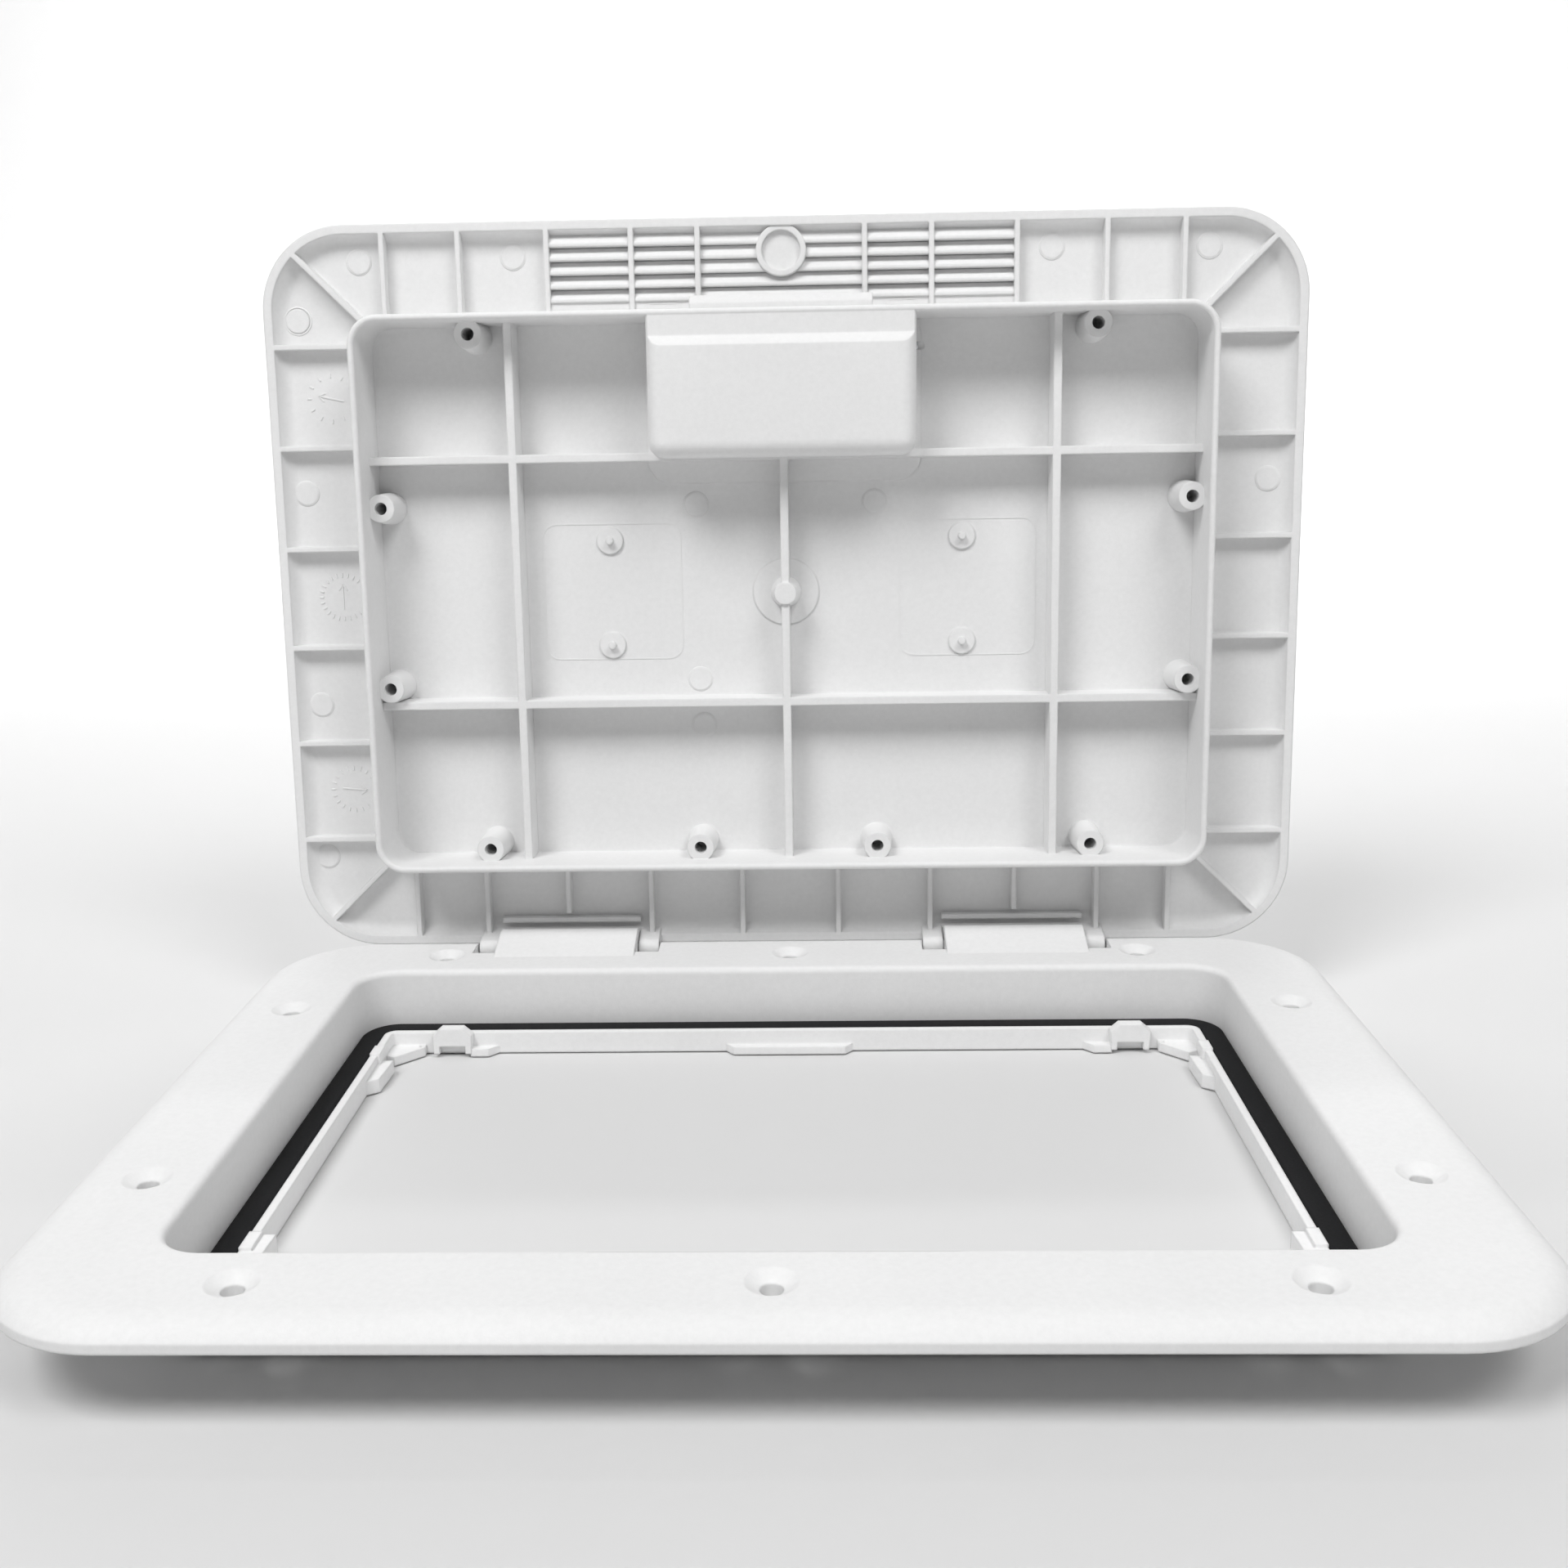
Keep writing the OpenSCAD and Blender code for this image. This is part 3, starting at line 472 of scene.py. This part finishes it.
def join(pieces):
    deselect_all()
    for piece in pieces:
        piece.select_set(True)
    bpy.context.view_layer.objects.active = pieces[0]
    bpy.ops.object.join()
    return bpy.context.object


def spread(first, places):
    """Copies of a piece at the given places, joined into one, with the piece itself removed."""
    copies = [copy_to(first, place) for place in places]
    bpy.data.objects.remove(first)
    for copy in copies:
        deselect_all()
        copy.select_set(True)
        bpy.context.view_layer.objects.active = copy
        bpy.ops.object.transform_apply(location=True, rotation=True, scale=True)
    return join(copies)


def raised_bar(length, width, height):
    """A low bar along x with its top drawn in, standing on the plane z = 0."""
    deselect_all()
    bpy.ops.mesh.primitive_plane_add(size=1)
    bar = bpy.context.object
    bpy.ops.object.mode_set(mode="EDIT")
    bpy.ops.transform.resize(value=(length, width, 1))
    bpy.ops.mesh.extrude_region_move(TRANSFORM_OT_translate={"value": (0, 0, height)})
    slope = 1 - 0.6 * height / width
    bpy.ops.transform.resize(value=(1 - 0.6 * height / length, slope, 1))
    bpy.ops.object.mode_set(mode="OBJECT")
    return bar


def raised_loop(width, depth, corner, line, height):
    """A raised line round a rounded rectangle."""
    deselect_all()
    bpy.ops.mesh.primitive_plane_add(size=1)
    loop = bpy.context.object
    bpy.ops.object.mode_set(mode="EDIT")
    bpy.ops.transform.resize(value=(width, depth, 1))
    bpy.ops.mesh.bevel(offset=corner, segments=8, affect="VERTICES")
    bpy.ops.mesh.select_all(action="SELECT")
    bpy.ops.mesh.inset(thickness=line)
    bpy.ops.mesh.delete(type="FACE")
    bpy.ops.mesh.select_all(action="SELECT")
    bpy.ops.mesh.extrude_region_move(TRANSFORM_OT_translate={"value": (0, 0, height)})
    bpy.ops.mesh.inset(thickness=0.2 * line)
    bpy.ops.object.mode_set(mode="OBJECT")
    return loop


def raised_ring(radius, line, height):
    """A raised line round a circle, lower on one side where it fades."""
    deselect_all()
    bpy.ops.mesh.primitive_torus_add(
        major_radius=radius, minor_radius=line / 2, major_segments=48, minor_segments=8)
    ring = bpy.context.object
    bpy.ops.object.mode_set(mode="EDIT")
    bpy.ops.mesh.select_all(action="SELECT")
    bpy.ops.transform.resize(value=(1, 1, 2 * height / line))
    bpy.ops.transform.rotate(value=0.012, orient_axis="Y", center_override=(0, 0, 0))
    bpy.ops.object.mode_set(mode="OBJECT")
    return ring


# ---------- operators ----------


class HATCH_OT_plastics(bpy.types.Operator):
    """Make the moulded plastics and give them to the frame, the ring, the lid and the latch"""
    bl_idname = "hatch.plastics"
    bl_label = "Plastics"

    def execute(self, context):
        finish = context.scene.hatch_finish
        frame_plastic = moulded_plastic("frame_plastic", finish.frame_colour, 0.03 * MM, 0.5)
        lid_plastic = moulded_plastic("lid_plastic", finish.lid_colour, 0.018 * MM, 0.46, tread=True)
        ring_plastic = moulded_plastic("ring_plastic", finish.ring_colour, 0.01 * MM, 0.36)
        latch_plastic = moulded_plastic("latch_plastic", finish.lid_colour, 0.02 * MM, 0.42)
        dress("deck_frame", frame_plastic)
        dress("retaining_ring", ring_plastic)
        dress("lid_shell", lid_plastic)
        for name in ("latch_handle", "latch_bolt", "bolt_guide"):
            dress(name, latch_plastic)
        return {"FINISHED"}


class HATCH_OT_hardware(bpy.types.Operator):
    """Give the pins, the spring and the small screws their drawn steel"""
    bl_idname = "hatch.hardware"
    bl_label = "Pins, spring and screws"

    def execute(self, context):
        steel = drawn_steel("drawn_steel", context.scene.hatch_finish.steel_colour)
        for name in ("hinge_pin_left", "hinge_pin_right", "handle_pin", "handle_spring", "guide_screws"):
            dress(name, steel)
        return {"FINISHED"}


class HATCH_OT_seal(bpy.types.Operator):
    """Build the rubber seal with its rounded top, in the room of the plain one"""
    bl_idname = "hatch.seal"
    bl_label = "Rubber seal"

    def execute(self, context):
        seal = context.scene.hatch_seal
        low, high = (Vector(corner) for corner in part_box("gasket"))
        middle = (low + high) / 2
        size = high - low
        deselect_all()
        bpy.ops.mesh.primitive_plane_add(size=1, location=(middle.x, middle.y, low.z))
        strip = context.object
        bpy.ops.object.mode_set(mode="EDIT")
        bpy.ops.transform.resize(value=(size.x, size.y, 1))
        bpy.ops.mesh.bevel(offset=seal.corner, segments=14, affect="VERTICES")
        bpy.ops.mesh.select_all(action="SELECT")
        bpy.ops.mesh.inset(thickness=seal.width)
        bpy.ops.mesh.delete(type="FACE")
        bpy.ops.mesh.select_all(action="SELECT")
        bpy.ops.mesh.extrude_region_move(TRANSFORM_OT_translate={"value": (0, 0, size.z)})
        bpy.ops.mesh.select_all(action="SELECT")
        bpy.ops.mesh.normals_make_consistent(inside=False)
        bpy.ops.object.mode_set(mode="OBJECT")
        bevel = strip.modifiers.new("round_over", "BEVEL")
        bevel.width = seal.round_over
        bevel.segments = 4
        bevel.limit_method = "ANGLE"
        bevel.angle_limit = math.radians(60)
        bpy.ops.object.modifier_apply(modifier=bevel.name)
        rubber = black_rubber("gasket_rubber", context.scene.hatch_finish.rubber_colour)
        settle(strip, "rubber_seal", "frame", rubber)
        bpy.ops.object.shade_smooth_by_angle(angle=math.radians(35))
        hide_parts("gasket")
        return {"FINISHED"}


class HATCH_OT_dials(bpy.types.Operator):
    """Add the three mould dials on the left side of the lid: an arrow in a ring of plain ticks"""
    bl_idname = "hatch.dials"
    bl_label = "Mould dials"

    def execute(self, context):
        marks = context.scene.hatch_marks
        spots = ((192, 12, 168), (124.5, 24, 90), (56.5, 20, -5))
        for number, (from_hinge, ticks, turn) in enumerate(spots, 1):
            arrow = self.arrow(marks, math.radians(turn))
            ring = self.ticks(marks, ticks)
            dial = join([arrow, ring])
            settle(dial, "mould_dial_%d" % number, "lid", finish_of("lid_plastic"),
                   on_tray_floor(-154.5 * MM, from_hinge * MM))
        return {"FINISHED"}

    def arrow(self, marks, turn):
        """A shaft with two barbs, turned about the middle of the dial."""
        length = 1.15 * marks.dial_radius
        shaft = raised_bar(length, marks.line, marks.height)
        barbs = []
        for side in (-1, 1):
            barb = raised_bar(0.3 * length, marks.line, marks.height)
            barb.matrix_world = (Matrix.Translation((length / 2, 0, 0)) @ Matrix.Rotation(side * 2.5, 4, "Z")
                                 @ Matrix.Translation((0.14 * length, 0, 0)))
            barbs.append(barb)
        whole = join([shaft] + barbs)
        whole.matrix_world = Matrix.Rotation(turn, 4, "Z")
        bpy.ops.object.transform_apply(location=True, rotation=True, scale=True)
        return whole

    def ticks(self, marks, count):
        """Short radial bars round the dial, made by spinning one."""
        tick = raised_bar(0.2 * marks.dial_radius, marks.line, marks.height)
        bpy.ops.object.mode_set(mode="EDIT")
        bpy.ops.mesh.select_all(action="SELECT")
        bpy.ops.transform.translate(value=(marks.dial_radius, 0, 0))
        bpy.ops.mesh.spin(steps=count, angle=2 * math.pi, center=(0, 0, 0), axis=(0, 0, 1), dupli=True)
        bpy.ops.mesh.select_all(action="SELECT")
        bpy.ops.mesh.remove_doubles(threshold=0.001 * MM)
        bpy.ops.mesh.normals_make_consistent(inside=False)
        bpy.ops.object.mode_set(mode="OBJECT")
        return tick


class HATCH_OT_panels(bpy.types.Operator):
    """Add the two faint rounded panels round the stud marks on the tray floor"""
    bl_idname = "hatch.panels"
    bl_label = "Floor panels"

    def execute(self, context):
        marks = context.scene.hatch_marks
        for name, left, right in (("floor_panel_left", -84, -36), ("floor_panel_right", 39, 86)):
            loop = raised_loop((right - left) * MM, 47 * MM, marks.panel_corner, 0.7 * marks.line,
                               0.6 * marks.height)
            settle(loop, name, "lid", finish_of("lid_plastic"),
                   on_tray_floor((left + right) / 2 * MM, 125 * MM))
        return {"FINISHED"}


class HATCH_OT_ejectors(bpy.types.Operator):
    """Add the fine rings that the ejector pins left inside the lid"""
    bl_idname = "hatch.ejectors"
    bl_label = "Ejector rings"

    def execute(self, context):
        marks = context.scene.hatch_marks
        first = raised_ring(marks.ejector_radius, marks.line, marks.height)
        places = [
            on_tray_floor(x * MM, v * MM) @ Matrix.Rotation(0.7 * i, 4, "Z") @ Matrix.Scale(scale, 4)
            for i, (x, v, scale) in enumerate(EJECTORS)
        ]
        settle(spread(first, places), "ejector_rings", "lid", finish_of("lid_plastic"))
        return {"FINISHED"}


class HATCH_OT_bosses(bpy.types.Operator):
    """Add smooth sleeves, each with a softened rim, over the ten screw bosses of the lid"""
    bl_idname = "hatch.bosses"
    bl_label = "Boss sleeves"

    def execute(self, context):
        first = self.sleeve(SLEEVE_FOOT, SLEEVE_TOP, SLEEVE_HEIGHT, SLEEVE_HOLE)
        places = [on_tray_floor(side * x * MM, v * MM) for x, v in BOSSES for side in (-1, 1)]
        bosses = settle(
            spread(first, places), "boss_sleeves", "lid", finish_of("lid_plastic"))
        bpy.ops.object.shade_smooth_by_angle(angle=math.radians(40))
        if len(bosses.data.polygons) < 640:
            raise RuntimeError("the boss sleeves came out incomplete")
        return {"FINISHED"}

    def sleeve(self, foot, top, height, hole):
        """A tapered round sleeve that stands on z = 0, open below and with a hole in its top."""
        deselect_all()
        bpy.ops.mesh.primitive_cylinder_add(
            vertices=64, radius=foot, depth=height, end_fill_type="NGON", location=(0, 0, height / 2))
        sleeve = bpy.context.object
        bpy.ops.object.transform_apply(location=True, rotation=True, scale=True)
        rim = SLEEVE_RIM
        bpy.ops.object.mode_set(mode="EDIT")
        select_faces(sleeve, lambda face: len(face.verts) > 4 and face.calc_center_median().z < height / 2)
        bpy.ops.mesh.delete(type="FACE")
        select_faces(sleeve, lambda face: len(face.verts) > 4)
        bpy.ops.transform.resize(value=(top / foot, top / foot, 1))
        bpy.ops.transform.translate(value=(0, 0, -rim))
        bpy.ops.mesh.extrude_region_move(TRANSFORM_OT_translate={"value": (0, 0, rim)})
        bpy.ops.transform.resize(value=((top - rim) / top, (top - rim) / top, 1))
        bpy.ops.mesh.inset(thickness=top - rim - hole)
        bpy.ops.mesh.delete(type="FACE")
        bpy.ops.object.mode_set(mode="OBJECT")
        return sleeve


class HATCH_OT_clips(bpy.types.Operator):
    """Add the two small outlined pads beside the bolt"""
    bl_idname = "hatch.clips"
    bl_label = "Clip pads"

    def execute(self, context):
        marks = context.scene.hatch_marks
        for name, across in (("clip_pad_left", -40), ("clip_pad_right", 40)):
            pad = raised_loop(10 * MM, 1.9 * MM, 0.5 * MM, 0.35 * MM, 0.7 * marks.height)
            spot = Matrix.Translation((across * MM, -220.2 * MM, FOOT_STRIP + MARK_SUNK))
            settle(pad, name, "lid", finish_of("lid_plastic"),
                   LID @ spot @ Matrix.Rotation(math.pi, 4, "X"))
        return {"FINISHED"}


class HATCH_OT_stage(bpy.types.Operator):
    """Set up the pale sweep, the soft lights and the camera"""
    bl_idname = "hatch.stage"
    bl_label = "Studio"

    def execute(self, context):
        studio = context.scene.hatch_studio
        self.sweep(studio)
        self.lights(studio)
        self.camera(studio)
        context.scene.view_settings.view_transform = "Standard"
        return {"FINISHED"}

    def sweep(self, studio):
        """A floor whose rear edge is drawn up in a wide curve."""
        floor_z = cad_bounds[0][2] - 0.5 * MM
        deselect_all()
        bpy.ops.mesh.primitive_plane_add(size=12, location=(0, -1.5, floor_z))
        sweep = bpy.context.object
        bpy.ops.object.mode_set(mode="EDIT")
        mesh = bmesh.from_edit_mesh(sweep.data)
        bpy.ops.mesh.select_mode(type="EDGE")
        for edge in mesh.edges:
            edge.select_set(all(v.co.y > 1 for v in edge.verts))
        bmesh.update_edit_mesh(sweep.data)
        bpy.ops.mesh.extrude_region_move(TRANSFORM_OT_translate={"value": (0, 0, 6)})
        for edge in bmesh.from_edit_mesh(sweep.data).edges:
            edge.select_set(all(v.co.y > 1 and abs(v.co.z) < 1 for v in edge.verts))
        bmesh.update_edit_mesh(sweep.data)
        bpy.ops.mesh.bevel(offset=2, segments=24, affect="EDGES")
        bpy.ops.object.mode_set(mode="OBJECT")
        bpy.ops.object.transform_apply(location=True, rotation=True, scale=True)
        bpy.ops.object.shade_smooth()
        sweep.name = "studio_sweep"
        material, tree, shader = new_material("pale_paper")
        shader.inputs["Roughness"].default_value = 0.9
        shader.inputs["Specular IOR Level"].default_value = 0.1
        shader.inputs["Base Color"].default_value = tuple(studio.floor_colour) + (1,)
        shader.inputs["Emission Color"].default_value = (1, 1, 1, 1)
        shader.inputs["Emission Strength"].default_value = studio.floor_glow
        sweep.data.materials.append(material)

    def lights(self, studio):
        """Two large soft lights, front left and front right, and even light all round."""
        middle = (0, 0.05, 0.08)
        self.soft_light("key_left", KEY_LEFT_PLACE, middle, KEY_SIZE, studio.key_power)
        self.soft_light("key_right", KEY_RIGHT_PLACE, middle, KEY_SIZE, RIGHT_TO_LEFT * studio.key_power)
        self.soft_light(
            "backdrop_light", BACKDROP_PLACE, BACKDROP_TARGET, BACKDROP_SIZE, studio.backdrop_power)
        world = bpy.data.worlds.new("studio_world")
        world.use_nodes = True
        sky = world.node_tree.nodes["Background"]
        sky.inputs["Color"].default_value = (1, 1, 1, 1)
        sky.inputs["Strength"].default_value = studio.sky
        bpy.context.scene.world = world

    def soft_light(self, name, place, target, size, power):
        """A round area light turned to its target."""
        turn = (Vector(target) - Vector(place)).to_track_quat("-Z", "Y").to_euler()
        bpy.ops.object.light_add(type="AREA", location=place, rotation=turn)
        light = bpy.context.object
        light.name = name
        light.data.shape = "DISK"
        light.data.size = size
        light.data.energy = power

    def camera(self, studio):
        bpy.ops.object.camera_add(location=studio.camera_place, rotation=studio.camera_turn)
        camera = bpy.context.object
        camera.name = "studio_camera"
        camera.data.lens = studio.lens
        camera.data.sensor_width = 36
        camera.data.shift_x, camera.data.shift_y = CAMERA_SHIFT
        camera.data.clip_start = 0.01
        bpy.context.scene.camera = camera


OPERATORS = (
    HATCH_OT_plastics, HATCH_OT_hardware, HATCH_OT_seal, HATCH_OT_dials, HATCH_OT_panels,
    HATCH_OT_ejectors, HATCH_OT_bosses, HATCH_OT_clips, HATCH_OT_stage,
)


class HATCH_PT_panel(bpy.types.Panel):
    """Lists the settings and the steps of the deck hatch"""
    bl_idname = "HATCH_PT_panel"
    bl_label = "Deck Hatch"
    bl_space_type = "VIEW_3D"
    bl_region_type = "UI"
    bl_category = "Deck Hatch"

    def draw(self, context):
        column = self.layout.column()
        for name, group in SETTINGS.items():
            for key in group.__annotations__:
                column.prop(getattr(context.scene, name), key)
        for operator in OPERATORS:
            column.operator(operator.bl_idname)


def register():
    for group in SETTINGS.values():
        bpy.utils.register_class(group)
    for name, group in SETTINGS.items():
        setattr(bpy.types.Scene, name, bpy.props.PointerProperty(type=group))
    for operator in OPERATORS:
        bpy.utils.register_class(operator)
    bpy.utils.register_class(HATCH_PT_panel)


def unregister():
    bpy.utils.unregister_class(HATCH_PT_panel)
    for operator in reversed(OPERATORS):
        bpy.utils.unregister_class(operator)
    for name in SETTINGS:
        delattr(bpy.types.Scene, name)
    for group in reversed(SETTINGS.values()):
        bpy.utils.unregister_class(group)


def main():
    register()
    bpy.ops.hatch.plastics()
    bpy.ops.hatch.hardware()
    bpy.ops.hatch.seal()
    bpy.ops.hatch.dials()
    bpy.ops.hatch.panels()
    bpy.ops.hatch.ejectors()
    bpy.ops.hatch.bosses()
    bpy.ops.hatch.clips()
    bpy.ops.hatch.stage()


if __name__ == "__main__":
    main()
